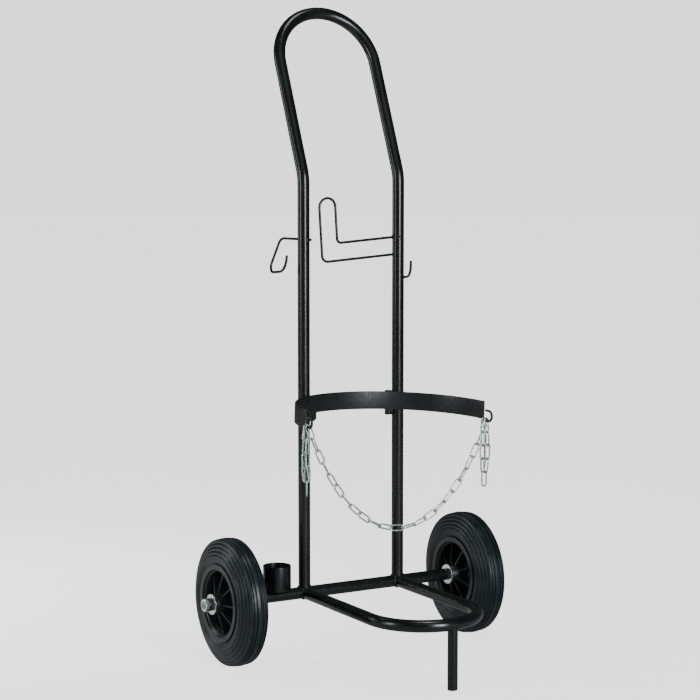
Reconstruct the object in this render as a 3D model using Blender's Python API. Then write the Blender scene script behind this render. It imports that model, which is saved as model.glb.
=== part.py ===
"""Oxy-acetylene torch cart: a two-wheeled cylinder trolley of bent steel tube.

X runs along the axle, Y runs from the front (negative) to the back, and Z is up.
The floor is Z = 0 and the origin is the middle of the cart's outline on the floor.
Lengths are metres.
"""

import math

import bmesh
import bpy
from mathutils import Matrix, Vector

# Clearance between pieces that touch
GAP = 0.0003

# Frame tube
TUBE_RADIUS = 0.0095
TUBE_WALL = 0.0015
UPRIGHT_SPACING = 0.172
HALF_SPACING = UPRIGHT_SPACING / 2

# Handle: two uprights that lean back into one half-round grip
HANDLE_BEND_HEIGHT = 0.7565
HANDLE_LEAN = math.radians(22.65)
HANDLE_SLOPE = 0.191
HANDLE_BEND_RADIUS = 0.060

# Wheels and axle
WHEEL_RADIUS = 0.100
AXLE_HEIGHT = WHEEL_RADIUS
WHEEL_CENTRE = 0.216
TYRE_BEAD_HALF_WIDTH = 0.0215
TYRE_SECTION = (
    (TYRE_BEAD_HALF_WIDTH, 0.0580), (TYRE_BEAD_HALF_WIDTH, 0.0616), (0.0250, 0.0695),
    (0.0240, 0.0770), (0.0135, 0.0985), (0.0, WHEEL_RADIUS),
)
TYRE_ROUNDING = (0.001, 0.010, 0.012, 0.0035)
RIM_SEAT_RADIUS = 0.0577
RIM_FLANGE_RADIUS = 0.0612
RIM_FLANGE_WIDTH = 0.0025
RIM_LIP_RADIUS = 0.0520
RIM_WEB_RADIUS = 0.0490
RIM_WEB_HALF_WIDTH = 0.0025
HUB_HALF_LENGTH = 0.0325
HUB_END_RADIUS = 0.0150
HUB_ROOT_RADIUS = 0.0190
AXLE_ROD_RADIUS = 0.0060
WASHER_RADIUS = 0.0160
WASHER_THICKNESS = 0.0020
SPACER_RADIUS = 0.0100
SPACER_THICKNESS = 0.0064
NUT_ACROSS_FLATS = 0.019
NUT_HEIGHT = 0.0058
ROD_STICK_OUT = 0.0015

# Base: a level U of the same tube in front of the axle, on one leg
BASE_REACH = 0.2947
LEG_X = 0.0030
LEG_RADIUS = 0.0078
LEG_CHAMFER = 0.0008

# Cup for filler rods, on the axle beside the left upright
CUP_X = -0.1352
CUP_RADIUS = 0.0221
CUP_WALL = 0.0015
CUP_HEIGHT = 0.0394

# Cylinder strap: a flat bar bent to an arc in front of the uprights
STRAP_RADIUS = 0.1625
STRAP_THICKNESS = 0.003
STRAP_WIDTH = 0.0286
STRAP_HALF_ARC = math.radians(85.7)
STRAP_TOP = 0.4135
STRAP_TILT = math.radians(1.4)
STRAP_SKEW = math.radians(1.7)
STRAP_CLEARANCE = 0.0010
BRACKET_RADIUS = 0.006
BRACKET_HIGH = 0.412
BRACKET_LOW = 0.373

# Open wire hooks on the ends of the strap
CHAIN_HOOK_WIRE = 0.0020
CHAIN_HOOK_STRAIGHT = 0.0140
CHAIN_HOOK_BEND = 0.0080
CHAIN_HOOK_MOUTH = 0.006
CHAIN_HOOK_INSET = 0.0012
CHAIN_HOOK_RISE = {"left": 0.0026, "right": -0.0012}

# Chain: a long-link span between the hooks, with a doubled tail behind it at each hook
LINK_COUNT = 23
LINK_PITCH = 0.0211
LINK_WIRE = 0.0011
LINK_HALF_WIDTH = 0.0055
LINK_PLAY = 0.0006
CHAIN_SEAT = 0.0093
CHAIN_LEAVES = Vector((0.37, 0, -0.93))
TWIST = math.radians(27.45)
TAIL_SEAT = 0.0039
TAIL_TOP = 0.0055
TAIL_BOTTOM = 0.1070
TAIL_RADIUS = 0.0035

# Torch rest: one closed L of wire on the right upright
REST_WIRE = 0.00175
REST_HEIGHT = 0.6440
REST_FINGER = 0.0275
REST_REACH = 0.1300
REST_TIP_WIDTH = 0.0285
REST_TIP_RISE = 0.0855
REST_SAG = math.radians(3.6)
REST_CORNER = 0.007
REST_OUTER_CORNER = 0.010
REST_OVERRUN = 0.003

# Hose hooks: one bent wire through each upright
HOSE_WIRE = 0.00175
HOSE_HEIGHT = 0.6590
HOSE_TOE_OUT = {"left": math.radians(17.0), "right": math.radians(31.0)}
HOSE_STUB = 0.0165
HOSE_ARM = 0.0500
HOSE_HEEL = {"left": (0.0280, 0.0650), "right": (0.0380, 0.0520)}
HOSE_TOE = (0.0285, 0.0070)
HOSE_TIP = (0.0270, 0.0050)
HOSE_DROP = 0.0550
HOSE_TOE_DROP = 0.0490
HOSE_TIP_DROP = 0.0240
HOSE_EXTRA_DROP = {"left": 0.0, "right": 0.0165}
HOSE_BENDS = (0.0120, 0.0120, 0.0230)

# Finish
BLACK_PAINT = (0.012, 0.014, 0.015)
BLACK_STRAP = (0.020, 0.023, 0.025)
DARK_RUBBER = (0.035, 0.040, 0.045)
BLACK_PLASTIC = (0.016, 0.018, 0.020)
ZINC = (0.72, 0.74, 0.75)

# The outline runs from the front of the base to the back of the grip
GRIP_BACK = (HANDLE_SLOPE + HALF_SPACING) * math.sin(HANDLE_LEAN) + TUBE_RADIUS
AXLE_Y = (BASE_REACH + TUBE_RADIUS - GRIP_BACK) / 2

SIDES = {"left": -1, "right": 1}


def clear_scene():
    for obj in list(bpy.data.objects):
        bpy.data.objects.remove(obj, do_unlink=True)


def material(name, color, roughness, metallic):
    mat = bpy.data.materials.new(name)
    mat.use_nodes = True
    shader = mat.node_tree.nodes["Principled BSDF"]
    shader.inputs["Base Color"].default_value = (*color, 1.0)
    shader.inputs["Roughness"].default_value = roughness
    shader.inputs["Metallic"].default_value = metallic
    return mat


def paint(name):
    return material(name, BLACK_PAINT, 0.25, 0.0)


def zinc(name):
    return material(name, ZINC, 0.3, 1.0)


def add_object(name, mesh, mat, parent, matrix=None):
    """Link a mesh as an object on its parent, round faces smooth."""
    obj = bpy.data.objects.new(name, mesh)
    bpy.context.scene.collection.objects.link(obj)
    mesh.shade_smooth()
    mesh.set_sharp_from_angle(angle=math.radians(35))
    if mat is not None:
        mesh.materials.append(mat)
    obj.parent = parent
    if matrix is not None:
        obj.matrix_local = matrix
    return obj


def add_empty(name, location, parent=None):
    empty = bpy.data.objects.new(name, None)
    bpy.context.scene.collection.objects.link(empty)
    empty.location = location
    empty.parent = parent
    return empty


def mesh_from_bmesh(name, bm):
    bmesh.ops.recalc_face_normals(bm, faces=bm.faces)
    mesh = bpy.data.meshes.new(name)
    bm.to_mesh(mesh)
    bm.free()
    return mesh


def rounded_path(corners, radii, steps=4):
    """A path through the corners, with each inner corner turned into an arc."""
    points = [Vector(corners[0])]
    for before, corner, after, radius in zip(corners, corners[1:], corners[2:], radii):
        corner = Vector(corner)
        back = (Vector(before) - corner).normalized()
        ahead = (Vector(after) - corner).normalized()
        half_angle = back.angle(ahead) / 2
        reach = radius / math.tan(half_angle)
        centre = corner + (back + ahead).normalized() * (radius / math.sin(half_angle))
        start = corner + back * reach - centre
        end = corner + ahead * reach - centre
        sweep = start.angle(end)
        for i in range(steps + 1):
            t = i / steps
            turned = start * math.sin((1 - t) * sweep) + end * math.sin(t * sweep)
            points.append(centre + turned / math.sin(sweep))
    points.append(Vector(corners[-1]))
    return points


def swept_mesh(name, points, radius, sides, wall=None, cyclic=False):
    """The mesh of a round bar, or of an open-ended pipe if it has a wall, along the points."""
    curve = bpy.data.curves.new(name, "CURVE")
    curve.dimensions = "3D"
    curve.bevel_depth = radius
    curve.bevel_resolution = (sides - 4) // 2
    curve.use_fill_caps = wall is None and not cyclic
    spline = curve.splines.new("POLY")
    spline.points.add(len(points) - 1)
    for spline_point, point in zip(spline.points, points):
        spline_point.co = (*point, 1.0)
    spline.use_cyclic_u = cyclic
    guide = bpy.data.objects.new(name + "_guide", curve)
    bpy.context.scene.collection.objects.link(guide)
    if wall is not None:
        shell = guide.modifiers.new("wall", "SOLIDIFY")
        shell.thickness = wall
        shell.offset = -1
        shell.use_even_offset = True
    depsgraph = bpy.context.evaluated_depsgraph_get()
    mesh = bpy.data.meshes.new_from_object(guide.evaluated_get(depsgraph))
    bpy.data.objects.remove(guide, do_unlink=True)
    bm = bmesh.new()
    bm.from_mesh(mesh)
    bmesh.ops.remove_doubles(bm, verts=bm.verts, dist=1e-7)
    return mesh_from_bmesh(name, bm)


def turned_mesh(name, outline, segments):
    """Spin a closed outline of (along the axis, radius) points about the X axis."""
    bm = bmesh.new()
    verts = [bm.verts.new((along, 0.0, radius)) for along, radius in outline]
    edges = [bm.edges.new((a, b)) for a, b in zip(verts, verts[1:] + verts[:1])]
    bmesh.ops.spin(
        bm, geom=verts + edges, cent=(0, 0, 0), axis=(1, 0, 0), dvec=(0, 0, 0),
        angle=math.tau, steps=segments, use_merge=True, use_duplicate=False,
    )
    bmesh.ops.remove_doubles(bm, verts=bm.verts, dist=1e-6)
    return mesh_from_bmesh(name, bm)


def washer_mesh(name, inner, outer, thickness, segments):
    half = thickness / 2
    outline = [(-half, inner), (half, inner), (half, outer), (-half, outer)]
    return turned_mesh(name, outline, segments)


def cut(obj, cutter):
    cutter.hide_render = True
    cutter.display_type = "WIRE"
    modifier = obj.modifiers.new("cut_" + cutter.name, "BOOLEAN")
    modifier.operation = "DIFFERENCE"
    modifier.solver = "EXACT"
    modifier.object = cutter


def handle_points():
    """One bent tube: up the left upright, over the grip and down the right upright."""
    lean = Vector((0, math.sin(HANDLE_LEAN), math.cos(HANDLE_LEAN)))
    bend = Vector((0, 0, HANDLE_BEND_HEIGHT))
    grip_start = bend + lean * HANDLE_SLOPE
    left = Vector((-HALF_SPACING, 0, 0))
    leg = [left + Vector((0, 0, AXLE_HEIGHT)), left + bend, left + grip_start]
    rising = rounded_path(leg, [HANDLE_BEND_RADIUS])
    arc_steps = 16
    grip = []
    for i in range(1, arc_steps):
        angle = math.pi * i / arc_steps
        across = Vector((-math.cos(angle) * HALF_SPACING, 0, 0))
        grip.append(grip_start + across + lean * math.sin(angle) * HALF_SPACING)
    falling = [Vector((-p.x, p.y, p.z)) for p in reversed(rising)]
    return rising + grip + falling


def base_points():
    """The level U: along the left arm, round the front and back along the right arm."""
    arc_centre_y = -(BASE_REACH - HALF_SPACING)
    arc_steps = 16
    points = [Vector((-HALF_SPACING, 0, AXLE_HEIGHT))]
    for i in range(arc_steps + 1):
        angle = math.pi * i / arc_steps
        x = -math.cos(angle) * HALF_SPACING
        y = arc_centre_y - math.sin(angle) * HALF_SPACING
        points.append(Vector((x, y, AXLE_HEIGHT)))
    points.append(Vector((HALF_SPACING, 0, AXLE_HEIGHT)))
    return points


def build_frame(root):
    tube_end = WHEEL_CENTRE - HUB_HALF_LENGTH - WASHER_THICKNESS - 2 * GAP
    axle_line = [Vector((-tube_end, 0, AXLE_HEIGHT)), Vector((tube_end, 0, AXLE_HEIGHT))]
    axle_mesh = swept_mesh("axle_tube", axle_line, TUBE_RADIUS, 16, TUBE_WALL)
    add_object("axle_tube", axle_mesh, paint("axle_paint"), root)

    clear_radius = TUBE_RADIUS + GAP
    axle_cutter = add_object(
        "axle_cutter", swept_mesh("axle_cutter", axle_line, clear_radius, 24), None, root
    )
    base_cutter = add_object(
        "base_cutter", swept_mesh("base_cutter", base_points(), clear_radius, 24), None, root
    )
    handle_mesh = swept_mesh("handle_frame", handle_points(), TUBE_RADIUS, 16, TUBE_WALL)
    handle = add_object("handle_frame", handle_mesh, paint("handle_paint"), root)
    cut(handle, axle_cutter)
    cut(handle, base_cutter)
    base_mesh = swept_mesh("base_loop", base_points(), TUBE_RADIUS, 16, TUBE_WALL)
    base = add_object("base_loop", base_mesh, paint("base_paint"), root)
    cut(base, axle_cutter)
    build_leg(root, base_cutter)
    return handle


def build_leg(root, base_cutter):
    """The leg is a round bar with a chamfered foot, coped to the underside of the base."""
    bm = bmesh.new()
    bmesh.ops.create_cone(
        bm, cap_ends=True, segments=20, radius1=LEG_RADIUS, radius2=LEG_RADIUS, depth=AXLE_HEIGHT
    )
    foot = min(bm.faces, key=lambda face: face.calc_center_median().z)
    bmesh.ops.bevel(
        bm, geom=foot.edges[:], offset=LEG_CHAMFER, segments=1, affect="EDGES", profile=0.5
    )
    place = Matrix.Translation((LEG_X, -BASE_REACH, AXLE_HEIGHT / 2))
    leg = add_object("prop_leg", mesh_from_bmesh("prop_leg", bm), paint("leg_paint"), root, place)
    cut(leg, base_cutter)


def build_cup(root):
    """An open cup with a closed floor, standing on the axle tube."""
    bm = bmesh.new()
    bmesh.ops.create_cone(
        bm, cap_ends=True, segments=32, radius1=CUP_RADIUS, radius2=CUP_RADIUS, depth=CUP_HEIGHT
    )
    mouth = max(bm.faces, key=lambda face: face.calc_center_median().z)
    bmesh.ops.inset_region(bm, faces=[mouth], thickness=CUP_WALL)
    floor = bmesh.ops.extrude_discrete_faces(bm, faces=[mouth])["faces"]
    bmesh.ops.translate(bm, verts=floor[0].verts[:], vec=(0, 0, CUP_WALL - CUP_HEIGHT))
    base = AXLE_HEIGHT + TUBE_RADIUS + GAP
    place = Matrix.Translation((CUP_X, 0, base + CUP_HEIGHT / 2))
    add_object("rod_cup", mesh_from_bmesh("rod_cup", bm), paint("cup_paint"), root, place)


def strap_frame():
    """The strap's own axes: the middle of its arc, tilted forward and slightly askew."""
    reach = STRAP_RADIUS + TUBE_RADIUS + STRAP_CLEARANCE
    centre_y = -math.sqrt(reach**2 - HALF_SPACING**2)
    middle = Vector((0, centre_y + STRAP_RADIUS, STRAP_TOP - STRAP_WIDTH / 2))
    turn = Matrix.Rotation(STRAP_TILT, 4, "X") @ Matrix.Rotation(STRAP_SKEW, 4, "Y")
    return Matrix.Translation(middle) @ turn @ Matrix.Translation((0, -STRAP_RADIUS, 0))


def strap_end(side):
    """Axes at one end of the strap: X outward, Y along the bar and forward, Z up."""
    angle = STRAP_HALF_ARC
    mid_radius = STRAP_RADIUS - STRAP_THICKNESS / 2 - CHAIN_HOOK_INSET
    spot = Vector((side * math.sin(angle) * mid_radius, math.cos(angle) * mid_radius, 0))
    forward = Vector((side * math.cos(angle), -math.sin(angle), 0))
    up = Vector((0, 0, 1))
    axes = Matrix((forward.cross(up), forward, up)).transposed().to_4x4()
    return strap_frame() @ Matrix.Translation(spot) @ axes


def build_strap(root):
    steps = 32
    bm = bmesh.new()
    half = STRAP_WIDTH / 2
    section = []
    for radius in (STRAP_RADIUS, STRAP_RADIUS - STRAP_THICKNESS):
        section.append(bm.verts.new((0, radius, -half)))
        section.append(bm.verts.new((0, radius, half)))
    face = bm.faces.new((section[0], section[1], section[3], section[2]))
    start = Matrix.Rotation(-STRAP_HALF_ARC, 3, "Z")
    bmesh.ops.rotate(bm, verts=bm.verts[:], cent=(0, 0, 0), matrix=start)
    bmesh.ops.spin(
        bm, geom=[face], cent=(0, 0, 0), axis=(0, 0, 1), dvec=(0, 0, 0),
        angle=2 * STRAP_HALF_ARC, steps=steps, use_duplicate=False,
    )
    mesh = mesh_from_bmesh("cylinder_strap", bm)
    strap_paint = material("strap_paint", BLACK_STRAP, 0.4, 0.0)
    add_object("cylinder_strap", mesh, strap_paint, root, strap_frame())


def bracket_spot():
    """Where a bracket bar touches both the back of the strap and the inside of an upright."""
    strap_centre = Vector((strap_frame() @ Vector((0, 0, 0))).xy)
    from_strap = STRAP_RADIUS + BRACKET_RADIUS + STRAP_CLEARANCE / 2
    from_tube = TUBE_RADIUS + BRACKET_RADIUS + GAP
    upright = Vector((HALF_SPACING, 0))
    across = upright - strap_centre
    apart = across.length
    along = (from_strap**2 - from_tube**2 + apart**2) / (2 * apart)
    offset = math.sqrt(from_strap**2 - along**2)
    direction = across.normalized()
    inward = Vector((-direction.y, direction.x))
    return strap_centre + direction * along + inward * offset


def build_brackets(root):
    spot = bracket_spot()
    for name, side in SIDES.items():
        bar = [Vector((side * spot.x, spot.y, z)) for z in (BRACKET_LOW, BRACKET_HIGH)]
        label = "strap_bracket_" + name
        mesh = swept_mesh(label, bar, BRACKET_RADIUS, 14)
        add_object(label, mesh, paint(label + "_paint"), root)


def chain_hook_points(rise):
    """An open wire loop in the strap end's own axes: out along the bar, round and back."""
    low = -STRAP_WIDTH / 2 + rise
    high = low + 2 * CHAIN_HOOK_BEND
    points = [Vector((0, GAP, low))]
    arc_steps = 8
    for i in range(arc_steps + 1):
        angle = math.pi * i / arc_steps
        y = CHAIN_HOOK_STRAIGHT + math.sin(angle) * CHAIN_HOOK_BEND
        z = low + CHAIN_HOOK_BEND - math.cos(angle) * CHAIN_HOOK_BEND
        points.append(Vector((0, y, z)))
    points.append(Vector((0, CHAIN_HOOK_MOUTH, high)))
    return points


def build_chain_hooks(root):
    for name, side in SIDES.items():
        label = "chain_hook_" + name
        points = chain_hook_points(CHAIN_HOOK_RISE[name])
        mesh = swept_mesh(label, points, CHAIN_HOOK_WIRE, 8)
        hook_paint = material(label + "_paint", BLACK_STRAP, 0.35, 0.0)
        add_object(label, mesh, hook_paint, root, strap_end(side))


def hook_spot(name, along):
    """A point on the middle of a hook's lower wire, this far out from the strap's end."""
    low = -STRAP_WIDTH / 2 + CHAIN_HOOK_RISE[name]
    return strap_end(SIDES[name]) @ Vector((0, along, low))


def hanging_curve(start, end, length):
    """A function from the distance along a hanging chain to its point in space."""
    span = (end - start).xy.length
    rise = end.z - start.z
    target = math.sqrt(length**2 - rise**2)
    low, high = span / 20, span * 20
    for _ in range(60):
        scale = (low + high) / 2
        if 2 * scale * math.sinh(span / (2 * scale)) > target:
            low = scale
        else:
            high = scale
    bottom = span / 2 - scale * math.asinh(rise / (2 * scale * math.sinh(span / (2 * scale))))
    first = scale * math.sinh(-bottom / scale)
    level = start.z - scale * math.cosh(bottom / scale)

    def point(distance):
        across = scale * math.asinh((first + distance) / scale)
        flat = start.lerp(end, (across + bottom) / span)
        return Vector((flat.x, flat.y, level + scale * math.cosh(across / scale)))

    return point


def chain_joints():
    """The points where one link meets the next, from the left hook to the right."""
    lift = CHAIN_HOOK_WIRE + LINK_PLAY / 2
    start = hook_spot("left", CHAIN_SEAT) - CHAIN_LEAVES * lift
    end = hook_spot("right", CHAIN_SEAT) - CHAIN_LEAVES * Vector((-1, 0, 1)) * lift
    point = hanging_curve(start, end, LINK_COUNT * LINK_PITCH)
    return [point(i * LINK_PITCH) for i in range(LINK_COUNT + 1)]


def swing_ends(joints):
    """The middles of the end wires that the span swings on, one at each hook."""
    inset = LINK_WIRE + LINK_PLAY / 2
    left = joints[0] - (joints[1] - joints[0]).normalized() * inset
    right = joints[-1] + (joints[-1] - joints[-2]).normalized() * inset
    return left, right


def link_roll(i):
    """A quarter of a turn for each link, and a steady twist on from the third."""
    return i * math.pi / 2 + max(0, i - 2) * TWIST


def link_points():
    """One long link's centre line, lying along X and open to Y."""
    bend = LINK_HALF_WIDTH - LINK_WIRE
    straight = (LINK_PITCH + LINK_PLAY) / 2 + LINK_WIRE - bend
    arc_steps = 4
    points = []
    for end in (1, -1):
        for i in range(arc_steps + 1):
            angle = math.pi * (i / arc_steps - 0.5)
            x = end * (straight + math.cos(angle) * bend)
            points.append(Vector((x, 0, end * math.sin(angle) * bend)))
    return points


def build_chain(root):
    """The first and the last link open to the hooks' wire."""
    joints = chain_joints()
    left, right = swing_ends(joints)
    swing = add_empty("chain_swing", (left + right) / 2, root)
    mesh = swept_mesh("link", link_points(), LINK_WIRE, 6, cyclic=True)
    mesh.materials.append(zinc("chain_zinc"))
    for i, (start, end) in enumerate(zip(joints, joints[1:])):
        along = (end - start).normalized()
        flat = Matrix.Rotation(link_roll(i), 3, along) @ Vector((0, 1, 0))
        axes = Matrix((along, flat, along.cross(flat))).transposed().to_4x4()
        place = Matrix.Translation((start + end) / 2 - swing.location) @ axes
        add_object("chain_link_%02d" % (i + 1), mesh, None, swing, place)


def build_tails(root):
    """The doubled end of the chain that hangs at each hook, as one plain bar."""
    bar = [Vector((0, 0, -TAIL_TOP)), Vector((0, 0, -TAIL_BOTTOM))]
    for name in SIDES:
        label = "chain_tail_" + name
        pivot = add_empty(label + "_axis", hook_spot(name, TAIL_SEAT), root)
        mesh = swept_mesh(label, bar, TAIL_RADIUS, 10)
        add_object(label, mesh, zinc(label + "_zinc"), pivot)


def rest_points():
    """The closed L in its own axes: X away from the upright, Z up."""
    half = REST_FINGER / 2
    tip_half = REST_TIP_WIDTH / 2
    inner = REST_REACH - REST_TIP_WIDTH
    corners = [
        (-REST_OVERRUN, 0, half),
        (inner, 0, half),
        (inner, 0, REST_TIP_RISE),
        (REST_REACH, 0, REST_TIP_RISE),
        (REST_REACH, 0, -half),
        (-REST_OVERRUN, 0, -half),
    ]
    lower = rounded_path(corners[:3], [REST_CORNER])
    upper = rounded_path(corners[3:], [REST_OUTER_CORNER])
    arc_steps = 8
    tip = []
    for i in range(arc_steps + 1):
        angle = math.pi * i / arc_steps
        x = inner + tip_half - math.cos(angle) * tip_half
        tip.append(Vector((x, 0, REST_TIP_RISE - tip_half + math.sin(angle) * tip_half)))
    return lower[:-1] + tip + upper[1:]


def build_torch_rest(root):
    """Both ends of the wire are coped to the inside of the right upright."""
    mesh = swept_mesh("torch_rest", rest_points(), REST_WIRE, 8)
    mount = Vector((HALF_SPACING - TUBE_RADIUS, 0, REST_HEIGHT))
    turn = Matrix.Rotation(math.pi, 4, "Z") @ Matrix.Rotation(REST_SAG, 4, "Y")
    place = Matrix.Translation(mount) @ turn
    rest_paint = material("rest_paint", BLACK_STRAP, 0.3, 0.0)
    rest = add_object("torch_rest", mesh, rest_paint, root, place)
    upright = [
        Vector((HALF_SPACING, 0, REST_HEIGHT - REST_FINGER)),
        Vector((HALF_SPACING, 0, REST_HEIGHT + REST_FINGER)),
    ]
    cope = swept_mesh("rest_cope", upright, TUBE_RADIUS + GAP, 24)
    cut(rest, add_object("rest_cope", cope, None, root))


def hose_hook_points(name, side):
    """Through the upright, out and back, down to the heel, forward to the toe and up."""
    away = Vector((side * math.sin(HOSE_TOE_OUT[name]), math.cos(HOSE_TOE_OUT[name]), 0))
    upright = Vector((side * HALF_SPACING, 0, HOSE_HEIGHT))
    corners = [upright - away * HOSE_STUB, upright + away * HOSE_ARM]
    for (out, back), drop in (
        (HOSE_HEEL[name], HOSE_DROP), (HOSE_TOE, HOSE_TOE_DROP), (HOSE_TIP, HOSE_TIP_DROP)
    ):
        corners.append(upright + Vector((side * out, back, -drop - HOSE_EXTRA_DROP[name])))
    return rounded_path(corners, HOSE_BENDS)


def build_hose_hooks(root, handle):
    for name, side in SIDES.items():
        label = "hose_hook_" + name
        points = hose_hook_points(name, side)
        mesh = swept_mesh(label, points, HOSE_WIRE, 8)
        hook_paint = material(label + "_paint", BLACK_STRAP, 0.3, 0.0)
        add_object(label, mesh, hook_paint, root)
        hole = swept_mesh(label + "_hole", points[:2], HOSE_WIRE + GAP, 12)
        cut(handle, add_object(label + "_hole", hole, None, root))


def tyre_outline():
    """Half of the section runs from the bead to the crown, and is mirrored."""
    corners = [Vector((width, radius, 0)) for width, radius in TYRE_SECTION]
    half = [(p.x, p.y) for p in rounded_path(corners, TYRE_ROUNDING, 3)]
    return half + [(-along, radius) for along, radius in reversed(half[:-1])]


def rim_outline():
    """Bore, hub, thin web and bead seat, one half mirrored to the other."""
    lip_half = TYRE_BEAD_HALF_WIDTH + GAP + RIM_FLANGE_WIDTH
    half = [
        (0.0, AXLE_ROD_RADIUS + GAP),
        (HUB_HALF_LENGTH, AXLE_ROD_RADIUS + GAP),
        (HUB_HALF_LENGTH, HUB_END_RADIUS),
        (RIM_WEB_HALF_WIDTH, HUB_ROOT_RADIUS),
        (RIM_WEB_HALF_WIDTH, RIM_WEB_RADIUS),
        (lip_half, RIM_LIP_RADIUS),
        (lip_half, RIM_FLANGE_RADIUS),
        (TYRE_BEAD_HALF_WIDTH + GAP, RIM_FLANGE_RADIUS),
        (TYRE_BEAD_HALF_WIDTH + GAP, RIM_SEAT_RADIUS),
    ]
    return half + [(-along, radius) for along, radius in reversed(half[1:])]


def nut_mesh(name):
    """A plain hexagon across the X axis; the bore is cut later."""
    bm = bmesh.new()
    corner = NUT_ACROSS_FLATS / math.sqrt(3)
    bmesh.ops.create_cone(
        bm, cap_ends=True, segments=6, radius1=corner, radius2=corner, depth=NUT_HEIGHT
    )
    turn = Matrix.Rotation(math.pi / 2, 3, "Y")
    bmesh.ops.rotate(bm, verts=bm.verts[:], cent=(0, 0, 0), matrix=turn)
    return mesh_from_bmesh(name, bm)


def build_axle_hardware(root):
    hub_face = WHEEL_CENTRE + HUB_HALF_LENGTH
    outer_washer = hub_face + GAP + WASHER_THICKNESS / 2
    spacer = outer_washer + (WASHER_THICKNESS + SPACER_THICKNESS) / 2 + GAP
    nut = spacer + (SPACER_THICKNESS + NUT_HEIGHT) / 2 + GAP
    inner_washer = WHEEL_CENTRE - HUB_HALF_LENGTH - GAP - WASHER_THICKNESS / 2
    rod_end = nut + NUT_HEIGHT / 2 + ROD_STICK_OUT
    rod_line = [Vector((-rod_end, 0, 0)), Vector((rod_end, 0, 0))]
    axle_centre = Matrix.Translation((0, 0, AXLE_HEIGHT))
    rod = swept_mesh("axle_rod", rod_line, AXLE_ROD_RADIUS, 20)
    add_object("axle_rod", rod, zinc("rod_zinc"), root, axle_centre)
    bore_mesh = swept_mesh("nut_bore", rod_line, AXLE_ROD_RADIUS + GAP, 20)
    bore = add_object("nut_bore", bore_mesh, None, root, axle_centre)
    bore_radius = AXLE_ROD_RADIUS + GAP
    for name, side in SIDES.items():
        for label, x in (("inner", inner_washer), ("outer", outer_washer)):
            washer = "washer_%s_%s" % (label, name)
            mesh = washer_mesh(washer, bore_radius, WASHER_RADIUS, WASHER_THICKNESS, 28)
            place = Matrix.Translation((side * x, 0, AXLE_HEIGHT))
            add_object(washer, mesh, zinc(washer + "_zinc"), root, place)
        mesh = washer_mesh("spacer_" + name, bore_radius, SPACER_RADIUS, SPACER_THICKNESS, 24)
        place = Matrix.Translation((side * spacer, 0, AXLE_HEIGHT))
        dark = material("spacer_%s_steel" % name, BLACK_STRAP, 0.4, 0.6)
        add_object("spacer_" + name, mesh, dark, root, place)
        place = Matrix.Translation((side * nut, 0, AXLE_HEIGHT))
        mesh = nut_mesh("axle_nut_" + name)
        cut(add_object("axle_nut_" + name, mesh, zinc("nut_zinc_" + name), root, place), bore)


def build_wheels(root):
    for name, side in SIDES.items():
        hub = add_empty("wheel_%s_axis" % name, (side * WHEEL_CENTRE, 0, AXLE_HEIGHT), root)
        tyre = turned_mesh("tyre_" + name, tyre_outline(), 36)
        add_object("tyre_" + name, tyre, material("rubber_" + name, DARK_RUBBER, 0.6, 0.0), hub)
        rim = turned_mesh("rim_" + name, rim_outline(), 30)
        plastic = material("plastic_" + name, BLACK_PLASTIC, 0.45, 0.0)
        add_object("rim_" + name, rim, plastic, hub)


def main():
    clear_scene()
    root = add_empty("cart", (0, AXLE_Y, 0))
    handle = build_frame(root)
    build_cup(root)
    build_strap(root)
    build_brackets(root)
    build_chain_hooks(root)
    build_chain(root)
    build_tails(root)
    build_torch_rest(root)
    build_hose_hooks(root, handle)
    build_wheels(root)
    build_axle_hardware(root)
    bpy.context.view_layer.update()


main()
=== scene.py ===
"""Looks of the oxy-acetylene torch cart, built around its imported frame.

Points are in the cart's own axes, in metres: X along the axle, Y to the back from the
axle's line, Z up from the floor. Every piece is moved to the row frame as it is made.
"""
import math

import bmesh
import bpy
from mathutils import Matrix, Vector


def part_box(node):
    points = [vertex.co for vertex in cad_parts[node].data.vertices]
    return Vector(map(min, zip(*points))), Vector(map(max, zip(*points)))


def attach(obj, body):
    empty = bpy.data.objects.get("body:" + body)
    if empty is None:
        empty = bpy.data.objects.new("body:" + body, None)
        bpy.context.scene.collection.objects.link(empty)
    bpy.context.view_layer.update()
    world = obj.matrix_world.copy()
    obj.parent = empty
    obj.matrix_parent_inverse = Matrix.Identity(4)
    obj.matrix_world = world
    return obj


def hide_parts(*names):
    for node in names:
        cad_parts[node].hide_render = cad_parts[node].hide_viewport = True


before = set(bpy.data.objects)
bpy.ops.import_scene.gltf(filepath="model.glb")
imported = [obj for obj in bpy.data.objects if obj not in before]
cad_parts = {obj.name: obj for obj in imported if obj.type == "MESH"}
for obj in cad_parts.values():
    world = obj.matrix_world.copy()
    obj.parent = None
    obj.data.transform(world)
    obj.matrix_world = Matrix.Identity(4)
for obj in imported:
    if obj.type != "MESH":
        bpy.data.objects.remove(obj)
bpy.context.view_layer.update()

SIDES = {"left": -1, "right": 1}
AXLE_LOW, AXLE_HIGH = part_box("axle_tube")
AXLE_Y = (AXLE_LOW.y + AXLE_HIGH.y) / 2
AXLE_HEIGHT = (AXLE_LOW.z + AXLE_HIGH.z) / 2
AXLE_END = AXLE_HIGH.x
CART = Matrix.Translation((0, AXLE_Y, 0))

# Clearance between pieces that touch
GAP = 0.0003

# Frame tube, handle and base
TUBE_RADIUS = 0.0095
HALF_SPACING = 0.086
HANDLE_BEND_HEIGHT = 0.7565
HANDLE_LEAN = math.radians(22.65)
HANDLE_SLOPE = 0.191
HANDLE_BEND_RADIUS = 0.060
BASE_REACH = AXLE_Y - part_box("base_loop")[0].y - TUBE_RADIUS
LEG_X = 0.0030
LEG_RADIUS = 0.0078

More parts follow.
